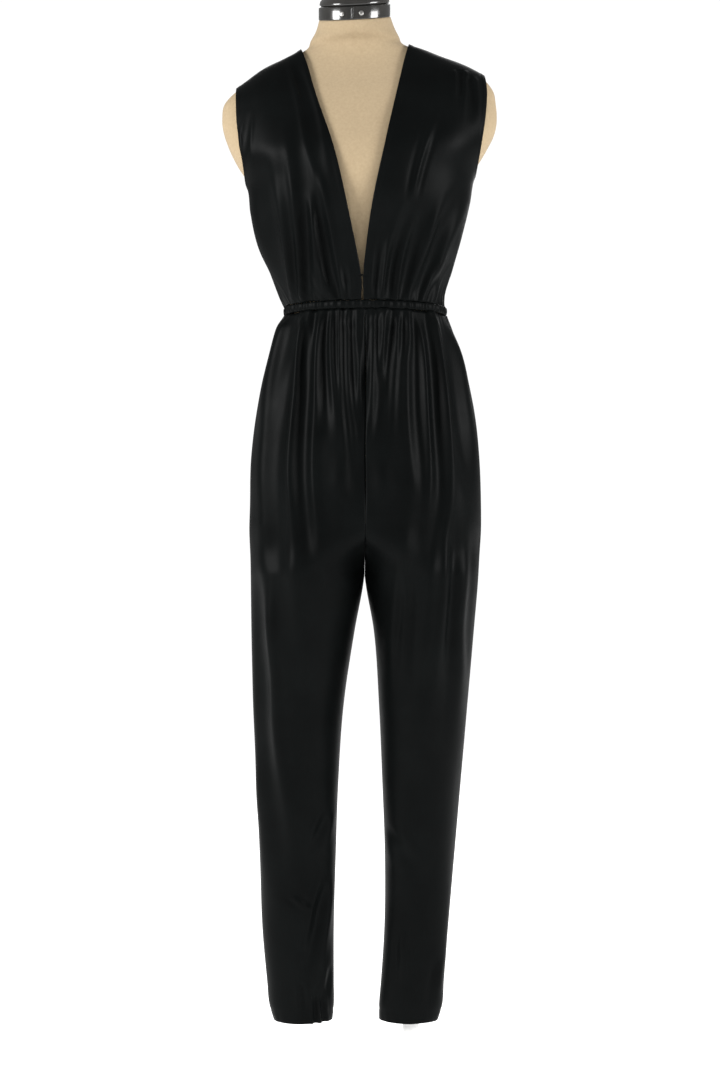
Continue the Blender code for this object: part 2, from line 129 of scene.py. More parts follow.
BODY = (
    Section(832, -167, 183, -104, 112, 0, 0.03, 20),
    Section(897, -169, 187, -112, 118, 0, 0.03, 16),
    Section(940, -168, 187, -113, 122, 0, 0.03, 13),
    Section(1017, -166, 184, -110, 118, 0, 0.02, 13),
    Section(1094, -156, 175, -102, 104, 0, 0.02, 13),
    Section(1171, -138, 156, -95, 91, 0, 0.01, 12),
    Section(1210, -126, 142, -93, 88, 0, 0.01, 11),
    Section(1237, -114, 132, -91, 86, 0, 0.00, 9),
    Section(1256, -122, 131, -94, 87, 0, 0.00, 9),
    Section(1302, -139, 144, -101, 91, 0, 0.00, 12),
    Section(1348, -156, 158, -112, 97, 0, 0.01, 13),
    Section(1394, -166, 170, -123, 101, 0, 0.01, 11),
    Section(1434, -172, 178, -125, 104, 0, 0.01, 7),
    Section(1474, -195, 201, -117, 105, 0, 0.02, 6),
    Section(1497, -206, 213, -107, 105, 0, 0.02, 6),
    Section(1545, -217, 216, -83, 100, 0, 0.02, 6),
    Section(1567, -213, 211, -71, 96, 0, 0.02, 6),
    Section(1589, -191, 192, -58, 90, 0, 0.02, 7),
    Section(1610, -159, 155, -48, 84, 0, 0.01, 8),
    Section(1631, -119, 109, -42, 78, 2, 0.00, 9),
    Section(1645, -91, 78, -43, 74, 4, 0.00, 9),
    Section(1660, -83, 69, -50, 74, 7, 0.00, 8),
    Section(1675, -75, 62, -54, 71, 8, 0.00, 8),
    Section(1692, -70, 56, -55, 71, 8, 0.00, 8),
)
LEGS = (
    Leg(150, -132, -41, 30, 121, -33, 35),
    Leg(170, -138, -39, 30, 127, -35, 38),
    Leg(208, -142, -39, 33, 130, -37, 42),
    Leg(286, -149, -39, 38, 136, -42, 52),
    Leg(401, -153, -36, 39, 146, -52, 66),
    Leg(516, -158, -32, 35, 156, -64, 80),
    Leg(632, -163, -24, 30, 166, -78, 92),
    Leg(747, -166, -7, 22, 176, -92, 104),
    Leg(832, -167, 8.0, 8.0, 183, -104, 112),
    Leg(940, -168, 9.5, 9.5, 187, -113, 122),
)
NECK_EDGE = (
    Edge(1243, 3.2, 6.2),
    Edge(1278, 2.8, 5.8),
    Edge(1288, 1.4, 6.4),
    Edge(1328, -6.3, 10.8),
    Edge(1372, -15.6, 17.2),
    Edge(1464, -36.6, 36.4),
    Edge(1566, -67.4, 58.2),
    Edge(1615, -80, 69.0),
    Edge(1645, -90, 77.0),
)
ARMHOLE_EDGE = (
    Edge(1434, -172, 178),
    Edge(1476, -178, 185),
    Edge(1523, -185.5, 191),
    Edge(1565, -188, 193),
    Edge(1590, -189, 191),
)
TROUSER_FRONT_FOLDS = (
    Fold(-101, 1231, -133, -141, 1017, 6, 4),
    Fold(-97, 1231, -157, -93, 652, 10, 8),
    Fold(-80, 1231, -85, -88, 1099, 4, 4),
    Fold(-65, 1231, -104, -63, 784, 7.5, 9),
    Fold(-47, 1231, -60, -42, 1025, 6, 7),
    Fold(-38, 1231, -37, -26, 1058, 3.5, 3.5),
    Fold(-25, 1231, -21, -12, 971, 3.5, 4),
    Fold(-10, 1231, -18, 2, 1025, 4.5, 5),
    Fold(13, 1231, 14, 2, 1025, 4.5, 5),
    Fold(24, 1231, 34, 16, 1003, 5, 5),
    Fold(50, 1231, 39, 28, 998, 6, 6),
    Fold(64, 1231, 65, 64, 1150, 5, 6),
    Fold(4, 1040, 4, 6, 850, 15, 8, 0.4),
    Fold(83, 1231, 84, 99, 920, 7, 7),
    Fold(99, 970, 90, 57, 582, 14, 9, 0.3),
    Fold(96, 1231, 134, 108, 813, 7, 9),
    Fold(128, 1231, 151, 169, 916, 8, 7),
    Fold(-152, 850, -161, -103, 325, 10, 9, 0.2),
    Fold(-47, 480, -57, -68, 410, 6, 4, 0.4),
    Fold(-44, 385, -65, -86, 205, 7, 7, 0.3),
    Fold(-88, 215, -85, -81, 160, 4, 3, 0.2),
    Fold(-67, 150, -69, -67, 215, 3, 3, 0.0),
    Fold(-54, 150, -58, -62, 215, 3, 3, 0.0),
    Fold(-42, 240, -46, -53, 185, 4, 3, 0.3),
    Fold(-104, 350, -90, -74, 322, 6, -3, 0.4),
    Fold(70, 850, 69, 67, 660, 5, -4, 0.3),
    Fold(127, 930, 123, 113, 640, 7, -5, 0.3),
    Fold(156, 916, 152, 145, 560, 7, -5, 0.3),
    Fold(66, 300, 68, 68, 200, 5, -3, 0.4),
    Fold(124, 250, 120, 117, 165, 5, -3, 0.3),
    Fold(40, 460, 60, 84, 380, 9, 3, 0.4),
)
TROUSER_BACK_FOLDS = (
    Fold(-110, 1231, -134, -150, 1060, 6, 5),
    Fold(-92, 1231, -132, -146, 960, 8, 7),
    Fold(-68, 1231, -98, -102, 740, 9, 8),
    Fold(-55, 1231, -66, -70, 1110, 5, 5),
    Fold(-42, 1231, -60, -64, 990, 7, 6),
    Fold(-26, 1231, -32, -36, 1120, 5, 4),
    Fold(-14, 1231, -22, -28, 1030, 6, 5),
    Fold(4, 1231, 6, 4, 1130, 5, 4),
    Fold(16, 1231, 24, 22, 980, 7, 6),
    Fold(33, 1231, 38, 44, 1110, 5, 5),
    Fold(46, 1231, 62, 80, 1020, 7, 7),
    Fold(62, 1231, 74, 80, 1120, 5, 5),
    Fold(74, 1231, 106, 96, 690, 9, 9),
    Fold(92, 1231, 110, 120, 1090, 6, 5),
    Fold(106, 1231, 142, 160, 950, 8, 7),
    Fold(8, 1010, 8, 9, 850, 15, 7, 0.4),
    Fold(-132, 800, -140, -96, 400, 11, 8, 0.3),
    Fold(-60, 560, -80, -110, 330, 10, 5, 0.4),
    Fold(136, 820, 142, 100, 360, 11, 8, 0.3),
    Fold(60, 620, 84, 112, 400, 10, 5, 0.4),
    Fold(-80, 150, -84, -90, 260, 5, 4),
    Fold(78, 150, 84, 86, 250, 5, 4),
)
BODICE_FRONT_FOLDS = (
    Fold(-111, 1243, -140, -150, 1483, 9, 9),
    Fold(-93, 1243, -96, -108, 1385, 5, 5),
    Fold(-75, 1243, -80, -94, 1508, 6.5, 9),
    Fold(-63, 1243, -65, -66, 1311, 4, 4),
    Fold(-45, 1243, -48, -58, 1330, 4, 3),
    Fold(-30, 1243, -60, -86, 1480, 6, 8),
    Fold(-16, 1243, -21, -25, 1300, 4, 4),
    Fold(-98, 1622, -69, -56, 1405, 6, 5, 0.2),
    Fold(23, 1243, 27, 33, 1343, 4.5, 5),
    Fold(44, 1243, 50, 79, 1386, 6, 8),
    Fold(62, 1243, 80, 99, 1389, 10, 8),
    Fold(82, 1243, 115, 151, 1415, 7.5, 9),
    Fold(100, 1243, 112, 126, 1303, 5, 6),
    Fold(119, 1243, 131, 146, 1326, 6, 7),
    Fold(79, 1380, 90, 118, 1530, 4.5, -3.5, 0.3),
    Fold(153, 1592, 153, 150, 1530, 4.5, 3.5, 0.1),
    Fold(166, 1582, 167, 168, 1500, 5, 3.5, 0.1),
    Fold(-168, 1540, -172, -170, 1440, 4, 3, 0.3),
)
BODICE_BACK_FOLDS = (
    Fold(-108, 1243, -128, -142, 1340, 6, 5),
    Fold(-92, 1243, -116, -130, 1410, 8, 7),
    Fold(-74, 1243, -82, -88, 1320, 5, 5),
    Fold(-58, 1243, -74, -82, 1450, 8, 7),
    Fold(-40, 1243, -46, -48, 1310, 5, 4),
    Fold(-24, 1243, -34, -38, 1370, 7, 5),
    Fold(-6, 1243, -6, -8, 1300, 5, 4),
    Fold(12, 1243, 10, 14, 1390, 7, 5),
    Fold(28, 1243, 32, 36, 1320, 5, 4),
    Fold(44, 1243, 58, 64, 1460, 8, 7),
    Fold(62, 1243, 70, 78, 1330, 5, 5),
    Fold(80, 1243, 96, 112, 1390, 8, 7),
    Fold(98, 1243, 114, 124, 1320, 5, 5),
    Fold(110, 1243, 128, 142, 1350, 8, 6),
)


def smooth_step(low: float, high: float, value: Array) -> Array:
    """Ease from 0 at low to 1 at high."""
    share = np.clip((value - low) / (high - low), 0.0, 1.0)
    return share * share * (3.0 - 2.0 * share)


def unit(vectors: Array) -> Array:
    """Vectors of length one."""
    return vectors / np.linalg.norm(vectors, axis=-1, keepdims=True)


def read_table(rows: tuple, column: str, height: Array) -> Array:
    """Read a column of a table at any height, on a smooth curve through its rows.

    Args:
        rows: the table, lowest row first.
        column: name of the field to read.
        height: heights in millimetres.

    Returns:
        The column's value at each height.
    """
    knots = np.array([row.z for row in rows], dtype=float)
    values = np.array([getattr(row, column) for row in rows], dtype=float)
    slopes = np.gradient(values, knots)
    height = np.clip(height, knots[0], knots[-1])
    low = np.clip(np.searchsorted(knots, height) - 1, 0, len(knots) - 2)
    span = knots[low + 1] - knots[low]
    t = (height - knots[low]) / span
    start = values[low] * (1 + 2 * t) * (1 - t) ** 2
    end = values[low + 1] * t**2 * (3 - 2 * t)
    bend = span * (slopes[low] * t * (1 - t) ** 2 - slopes[low + 1] * t**2 * (1 - t))
    return start + end + bend


def relief(folds: tuple[Fold, ...], points: Array) -> Array:
    """How far the folds move each point out of the surface.

    Args:
        folds: the folds of this half of the garment.
        points: points on the smooth surface.

    Returns:
        The height of the folded cloth over the smooth surface, below zero in a trough.
    """
    x, z = points[..., 0], points[..., 2]
    total = np.zeros(x.shape)
    for fold in folds:
        along = (z - fold.z_start) / (fold.z_end - fold.z_start)
        t = np.clip(along, 0.0, 1.0)
        line = (1 - t) ** 2 * fold.x_start + 2 * t * (1 - t) * fold.x_bend + t**2 * fold.x_end
        line = line + 1.2 * np.sin(z / 31.0 + fold.x_start)
        off = (x - line) / (fold.width * (1.0 + 0.35 * t))
        groove = np.exp(-(off**2)) - 0.45 * np.exp(-((np.abs(off) - 1.9) ** 2) * 1.6)
        fade = 1.0 - smooth_step(0.45, 1.05, along)
        start = smooth_step(-0.02, fold.rise, along) if fold.rise else along >= -0.01
        total -= fold.depth * groove * fade * start
    return total


def gathers(x: Array, z: Array, seam: float, reach: float, depth: float) -> Array:
    """Fine uneven gathers that fade away from a gathered seam.

    Args:
        x: places round the garment.
        z: heights.
        seam: height of the seam.
        reach: how far the gathers run from the seam.
        depth: their depth at the seam.

    Returns:
        The height of the gathers.
    """
    away = np.abs(z - seam) / reach
    bend = x * (1.0 - 0.10 * away)
    wave = np.sin(bend / 1.9) + 0.8 * np.sin(bend / 2.7 + 1.3) + 0.7 * np.sin(bend / 4.1 + 0.4)
    uneven = 0.65 + 0.35 * np.sin(x / 13.0 + 2.0)
    return depth * uneven * wave * np.exp(-(away**1.3)) / 1.7


def soft_wrinkles(x: Array, z: Array) -> Array:
    """Low uneven swells that keep loose cloth from being smooth."""
    first = np.sin(x / 17.0 + 0.9 * np.sin(z / 83.0)) * np.sin(z / 119.0 + x / 61.0)
    second = np.sin(x / 9.5 - z / 140.0) * np.sin(z / 71.0 + 1.7)
    third = np.sin(x / 29.0 + z / 47.0 + 0.6) * np.sin(z / 33.0 - x / 90.0)
    return 0.8 * first + 0.35 * second + 0.45 * third


@dataclass(frozen=True)
class FormShape:
    """The smooth surface that the form and the garment's body follow."""

    shoulder_tilt: float = 0.052
    neck_tilt: float = 0.34
    neck_axis_y: float = 8.0

    def point(self, turn: Array, height: Array, inset: Array | float = 0.0) -> Array:
        """Point of a section at a turn: 0 is the front, a quarter turn is the wearer's left.

        Args:
            turn: angles in radians.
            height: heights, of the same shape.
            inset: how far inside the garment's body the point lies.

        Returns:
            Points in millimetres.
        """
        left = read_table(BODY, "left", height) + inset
        right = read_table(BODY, "right", height) - inset
        mid = read_table(BODY, "mid", height)
        front = mid - read_table(BODY, "front", height) - inset
        back = read_table(BODY, "back", height) - mid - inset
        square = read_table(BODY, "square", height)
        across = (np.sin(turn) + square * np.sin(3 * turn)) / (1 - square)
        ahead = (np.cos(turn) - square * np.cos(3 * turn)) / (1 - square)
        x = (left + right) / 2 + (right - left) / 2 * across
        y = mid - np.where(ahead > 0, front, back) * ahead
        return np.stack([x, y, height + 0.0 * x], axis=-1)

    def normal(self, turn: Array, height: Array) -> Array:
        """Direction that points out of the body's surface."""
        round_way = self.point(turn + 0.002, height) - self.point(turn - 0.002, height)
        up_way = self.point(turn, height + 0.5) - self.point(turn, height - 0.5)
        return unit(np.cross(round_way, up_way))

    def turn_at(self, x: float, height: float) -> float:
        """Turn from the front centre at which the section reaches x."""
        quarter = np.linspace(-math.pi / 2, math.pi / 2, 361)
        level = np.full(quarter.shape, float(height))
        return float(np.interp(x, self.point(quarter, level)[:, 0], quarter))

    def lean(self, points: Array) -> Array:
        """Raise one shoulder and lean the neck forward, as the form stands."""
        x, y, z = points[..., 0], points[..., 1], points[..., 2]
        shoulder = self.shoulder_tilt * x * smooth_step(1240.0, 1440.0, z)
        neck = self.neck_tilt * (y - self.neck_axis_y) * smooth_step(1640.0, 1688.0, z)
        return np.stack([x, y, z + shoulder + neck], axis=-1)


SHAPE = FormShape()


class NodeSet:
    """A material's node tree, with short calls to add and join its nodes."""

    def __init__(self, name: str) -> None:
        """Start a material with a Principled shader."""
        self.material = bpy.data.materials.new(name)
        self.material.use_nodes = True
        self.tree = self.material.node_tree
        self.shader = self.tree.nodes["Principled BSDF"]
        self.place = self.add("ShaderNodeTexCoord").outputs["Object"]

    def add(self, kind: str, **settings: object) -> bpy.types.Node:
        """Add a node, with its settings.

        Args:
            kind: type of the node.
            settings: attributes, or input values where the node has an input of that name.

        Returns:
            The new node.
        """
        node = self.tree.nodes.new(kind)
        for key, value in settings.items():
            label = key.replace("_", " ")
            if label in node.inputs:
                node.inputs[label].default_value = value
            else:
                setattr(node, key, value)
        return node

    def join(self, start: bpy.types.NodeSocket, end: bpy.types.NodeSocket) -> None:
        """Join two sockets."""
        self.tree.links.new(start, end)

    def noise(self, scale: float, detail: float = 3.0) -> bpy.types.NodeSocket:
        """Soft noise in the object's own space."""
        node = self.add("ShaderNodeTexNoise", Scale=scale, Detail=detail)
        self.join(self.place, node.inputs["Vector"])
        return node.outputs["Fac"]

    def weave(self, scale: float) -> bpy.types.NodeSocket:
        """Crossed threads: two fine waves, one across and one along."""
        sockets = []
        for direction in ("X", "Z"):
            wave = self.add("ShaderNodeTexWave", bands_direction=direction, Scale=scale, Distortion=1.2)
            wave.inputs["Detail Scale"].default_value = 2.0
            self.join(self.place, wave.inputs["Vector"])
            sockets.append(wave.outputs["Fac"])
        mixer = self.add("ShaderNodeMath", operation="MAXIMUM")
        self.join(sockets[0], mixer.inputs[0])
        self.join(sockets[1], mixer.inputs[1])
        return mixer.outputs[0]

    def blend_colours(self, factor: bpy.types.NodeSocket, low: tuple, high: tuple) -> None:
        """Colour the shader between two colours by a factor."""
        ramp = self.add("ShaderNodeValToRGB")
        ramp.color_ramp.elements[0].position = 0.3
        ramp.color_ramp.elements[1].position = 0.7
        ramp.color_ramp.elements[0].color = (*low, 1.0)
        ramp.color_ramp.elements[1].color = (*high, 1.0)
        self.join(factor, ramp.inputs["Fac"])
        self.join(ramp.outputs["Color"], self.shader.inputs["Base Color"])

    def rough_between(self, factor: bpy.types.NodeSocket, low: float, high: float) -> None:
        """Vary the shader's roughness between two values by a factor."""
        span = self.add("ShaderNodeMapRange")
        span.inputs["To Min"].default_value = low
        span.inputs["To Max"].default_value = high
        self.join(factor, span.inputs["Value"])
        self.join(span.outputs["Result"], self.shader.inputs["Roughness"])

    def bump(self, factor: bpy.types.NodeSocket, strength: float, distance: float) -> None:
        """Raise the surface by a factor, over any bump that is there already."""
        bump = self.add("ShaderNodeBump", Strength=strength, Distance=distance)
        self.join(factor, bump.inputs["Height"])
        socket = self.shader.inputs["Normal"]
        if socket.is_linked:
            self.join(socket.links[0].from_socket, bump.inputs["Normal"])
        self.join(bump.outputs["Normal"], socket)

    def constant(self, **values: float) -> None:
        """Set plain values on the shader's own sockets."""
        for key, value in values.items():
            self.shader.inputs[key.replace("_", " ")].default_value = value


@dataclass(frozen=True)
class SatinJersey:
    """Black satin-faced jersey with a soft sheen."""

    dark: tuple = (0.0022, 0.0026, 0.0026)
    light: tuple = (0.0032, 0.0038, 0.0038)

    def material(self) -> bpy.types.Material:
        """Build the finish."""
        nodes = NodeSet("black satin jersey")
        nodes.blend_colours(nodes.noise(14.0), self.dark, self.light)
        nodes.rough_between(nodes.noise(45.0), 0.36, 0.46)
        nodes.bump(nodes.weave(900.0), 0.10, 0.0002)
        nodes.bump(nodes.noise(120.0, 4.0), 0.12, 0.0006)
        nodes.constant(Specular_IOR_Level=0.03, Sheen_Weight=0.0)
        return nodes.material


@dataclass(frozen=True)
class LinenCover:
    """Plain beige linen stretched over the form."""

    dark: tuple = (0.345, 0.262, 0.160)
    light: tuple = (0.390, 0.300, 0.188)

    def material(self) -> bpy.types.Material:
        """Build the finish."""
        nodes = NodeSet("linen cover")
        nodes.blend_colours(nodes.noise(260.0, 6.0), self.dark, self.light)
        nodes.rough_between(nodes.noise(60.0), 0.78, 0.92)
        nodes.bump(nodes.weave(520.0), 0.35, 0.0003)
        nodes.constant(Specular_IOR_Level=0.2, Sheen_Weight=0.08)
        return nodes.material


@dataclass(frozen=True)
class GlossBlack:
    """Glossy black paint on metal, with faint handling marks."""

    def material(self) -> bpy.types.Material:
        """Build the finish."""
        nodes = NodeSet("gloss black metal")
        nodes.blend_colours(nodes.noise(40.0), (0.012, 0.012, 0.011), (0.024, 0.022, 0.019))
        nodes.rough_between(nodes.noise(90.0, 5.0), 0.12, 0.26)
        nodes.bump(nodes.noise(30.0), 0.06, 0.001)
        nodes.constant(Specular_IOR_Level=0.6, Coat_Weight=0.5, Coat_Roughness=0.08)
        return nodes.material


@dataclass(frozen=True)
class BrightSteel:
    """Bright rivet metal."""

    def material(self) -> bpy.types.Material:
        """Build the finish."""
        nodes = NodeSet("bright steel")
        nodes.blend_colours(nodes.noise(300.0), (0.36, 0.35, 0.33), (0.52, 0.51, 0.49))
        nodes.rough_between(nodes.noise(500.0), 0.22, 0.4)
        nodes.constant(Metallic=1.0)
        return nodes.material


@dataclass(frozen=True)
class WhiteEnamel:
    """Satin white enamel on the stand."""

    def material(self) -> bpy.types.Material:
        """Build the finish."""
        nodes = NodeSet("white enamel")
        nodes.blend_colours(nodes.noise(25.0), (0.80, 0.80, 0.79), (0.86, 0.86, 0.85))
        nodes.rough_between(nodes.noise(70.0), 0.28, 0.38)
        nodes.bump(nodes.noise(400.0), 0.04, 0.0002)
        nodes.constant(Specular_IOR_Level=0.45)
        return nodes.material


def mesh_piece(name: str, grids: list[Array], closed: bool, material: bpy.types.Material) -> bpy.types.Object:
    """Make a closed piece from an outer and an inner grid of points, or one stack of rings.

    Args:
        name: name of the piece.
        grids: one grid of rings, or an outer and an inner grid of one shape.
        closed: whether each row is a ring that joins up.
        material: finish of the piece.

    Returns:
        The new object.
    """
    rows, columns = grids[0].shape[:2]
    points = np.concatenate([grid.reshape(-1, 3) for grid in grids]) * MM
    index = np.arange(rows * columns).reshape(rows, columns)
    if closed:
        index = np.concatenate([index, index[:, :1]], axis=1)
    quads = np.stack([index[:-1, :-1], index[:-1, 1:], index[1:, 1:], index[1:, :-1]], -1).reshape(-1, 4)
    faces = [quads]
    if len(grids) == 2:
        size = rows * columns
        faces.append(quads[:, ::-1] + size)
        border = [index[0], index[-1][::-1]]
        if not closed:
            border += [index[:, -1], index[:, 0][::-1]]
        for run in border:
            faces.append(np.stack([run[1:], run[:-1], run[:-1] + size, run[1:] + size], -1))
    polygons = np.concatenate(faces).tolist()
    if len(grids) == 1:
        polygons += [list(range(columns))[::-1], list(range((rows - 1) * columns, rows * columns))]
    mesh = bpy.data.meshes.new(name)
    mesh.from_pydata(points.tolist(), [], polygons)
    mesh.update()
    mesh.shade_smooth()
    piece = bpy.data.objects.new(name, mesh)
    bpy.context.collection.objects.link(piece)
    mesh.materials.append(material)
    return piece


def declare(piece: bpy.types.Object, slot: str, *nodes: str) -> bpy.types.Object:
    """Ride a piece on the body, hide the model's nodes that it stands for and log its faces."""
    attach(piece, "root")
    if nodes:
        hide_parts(*nodes)
    LOG.info("%s: %d faces", piece.name, len(piece.data.polygons))
    return piece


def coons(bottom: Array, top: Array, inner: Array, outer: Array, power: float) -> Array:
    """Fill a four-sided patch from its edges.

    Args:
        bottom: lower edge.
        top: upper edge, as long as the lower one.
        inner: edge at the start of each row.
        outer: edge at the end of each row.
        power: how much closer together the rows are towards the top.

    Returns:
        Rows of turn and height.
    """
    s = np.linspace(0, 1, len(bottom))[None, :, None]
    t = (1 - np.linspace(1, 0, len(inner)) ** power)[:, None, None]
    ruled = (1 - t) * bottom[None] + t * top[None] + (1 - s) * inner[:, None] + s * outer[:, None]
    corners = (1 - s) * (1 - t) * bottom[0] + s * (1 - t) * bottom[-1]
    return ruled - corners - (1 - s) * t * top[0] - s * t * top[-1]


@dataclass
class Cloth:
    """What every panel of the garment shares: its wall, its seams and its finish."""

    material: bpy.types.Material
    wall: float = 1.6
    seam_gap: float = 0.3
    room_left: float = 1.6
    casing_low: float = 1231.0
    casing_high: float = 1243.0

    def held_at_waist(self, height: Array) -> Array:
        """Share of a fold's depth: the elastic holds the cloth flatter next to the casing."""
        away = np.maximum(height - self.casing_high, self.casing_low - height)
        return 0.45 + 0.55 * smooth_step(0.0, 26.0, away)

    def settle(self, base: Array, normals: Array, height: Array) -> tuple[Array, Array]:
        """Move cloth out by its folds, with room left to the form.

        Args:
            base: points of the smooth surface.
            normals: directions out of it.
            height: how far the folds reach.

        Returns:
            The outer and the inner points of the wall.
        """
        room = read_table(BODY, "ease", base[..., 2]) - self.wall - self.room_left
        height = np.where(height < 0, -room * (1 - np.exp(height / room)), height)
        outside = base + normals * height[..., None]
        return outside, outside - normals * self.wall


@dataclass
class Bodice(Cloth):
    """The two front panels and the back panel above the waist."""

    underarm: float = 1434.0
    shoulder_tip: float = 1590.0
    neck_point: float = 1645.0
    back_neck: float = 1643.0
    row_power: float = 1.5
    columns: int = 110
    rows: int = 190
    edge_turn: float = 7.0

    def heights(self, top: float) -> Array:
        """Heights of a panel's rows, closer together towards the shoulder."""
        low = self.casing_high + self.seam_gap
        return low + (top - low) * (1 - np.linspace(1, 0, self.rows) ** self.row_power)

    def side_edge(self, side: int, facing: Facing) -> Array:
        """Side seam and armhole of a panel, as pairs of turn and height."""
        height = self.heights(self.shoulder_tip)
        column = "left" if side > 0 else "right"
        turns = []
        for z in height:
            quarter = math.pi / 2
            if self.underarm < z < self.shoulder_tip:
                quarter = side * SHAPE.turn_at(float(read_table(ARMHOLE_EDGE, column, z)), z)
            turns.append(side * quarter if facing is Facing.FRONT else side * (math.pi - quarter))
        return np.stack([np.array(turns), height], axis=-1)

    def front_patch(self, side: int) -> Array:
        """Turn and height of the points of a front panel."""
        column = "left" if side > 0 else "right"
        height = self.heights(self.neck_point)
        edge = [SHAPE.turn_at(float(read_table(NECK_EDGE, column, z)), z) for z in height]
        edge[-1] = side * math.pi / 2
        inner = np.stack([np.array(edge), height], axis=-1)
        outer = self.side_edge(side, Facing.FRONT)
        share = np.linspace(0, 1, self.columns)[:, None]
        bottom = inner[0] + (outer[0] - inner[0]) * share
        top = inner[-1] + (outer[-1] - inner[-1]) * share
        return coons(bottom, top, inner, outer, self.row_power)

    def back_patch(self) -> Array:
        """Turn and height of the points of the back panel, from wearer's right to left."""
        inner = self.side_edge(-1, Facing.BACK)
        inner[:, 0] = inner[:, 0] + 2 * math.pi
        outer = self.side_edge(1, Facing.BACK)
        share = np.linspace(0, 1, int(self.columns * 1.7))
        bottom = inner[0] + (outer[0] - inner[0]) * share[:, None]
        knots = [0, 0.28, 0.72, 1]
        across = np.interp(share, knots, [inner[0, 0], inner[0, 0], outer[0, 0], outer[0, 0]])
        seam = np.interp(share, knots, [0, 1, 1, 0])
        scoop = np.sin(math.pi * np.clip((share - 0.28) / 0.44, 0, 1))
        height = self.shoulder_tip + (self.neck_point - self.shoulder_tip) * seam
        height = height + (self.back_neck - self.neck_point) * scoop
        return coons(bottom, np.stack([across, height], axis=-1), inner, outer, self.row_power)

    def walls(self, patch: Array, folds: tuple[Fold, ...], facing: Facing) -> list[Array]:
        """Outer and inner points of a panel, with folds, gathers and turned edges."""
        turn, height = patch[..., 0], patch[..., 1]
        base = SHAPE.point(turn, height)
        seam_share = smooth_step(0.0, 0.18, np.abs(np.cos(turn)))
        around = turn * 130.0
        lift = relief(folds, base) * self.held_at_waist(height) + 1.5 * soft_wrinkles(base[..., 0], height)
        lift = lift * seam_share + gathers(around, height, self.casing_high, 26.0, 1.1)
        lift = lift + self.turned_edges(base, facing)
        outside, inside = self.settle(base, SHAPE.normal(turn, height), lift)
        shift = np.array([0.0, -0.15 if facing is Facing.FRONT else 0.15, 0.0])
        return [SHAPE.lean(outside + shift), SHAPE.lean(inside + shift)]

    def turned_edges(self, base: Array, facing: Facing) -> Array:
        """A slight step where the free edges are turned in and stitched down."""
        steps = np.cumsum(np.linalg.norm(np.diff(base, axis=1), axis=-1), axis=1)
        from_start = np.concatenate([np.zeros((base.shape[0], 1)), steps], axis=1)
        from_end = from_start[:, -1:] - from_start
        above = smooth_step(self.underarm - 6, self.underarm + 6, base[..., 2])
        near_end = 1 - smooth_step(self.edge_turn - 1, self.edge_turn + 1, from_end)
        near_start = 1 - smooth_step(self.edge_turn - 1, self.edge_turn + 1, from_start)
        start_share = 1.0 if facing is Facing.FRONT else above
        return 0.45 * np.maximum(near_end * above, near_start * start_share)

    def build(self) -> None:
        for side in Side:
            name = "bodice_front_" + side.word
            walls = self.walls(self.front_patch(side.value), BODICE_FRONT_FOLDS, Facing.FRONT)
            piece = declare(mesh_piece(name + "_cloth", walls, False, self.material), "cloth", name)
        walls = self.walls(self.back_patch(), BODICE_BACK_FOLDS, Facing.BACK)
        piece = declare(mesh_piece("bodice_back_cloth", walls, False, self.material), "cloth", "bodice_back")


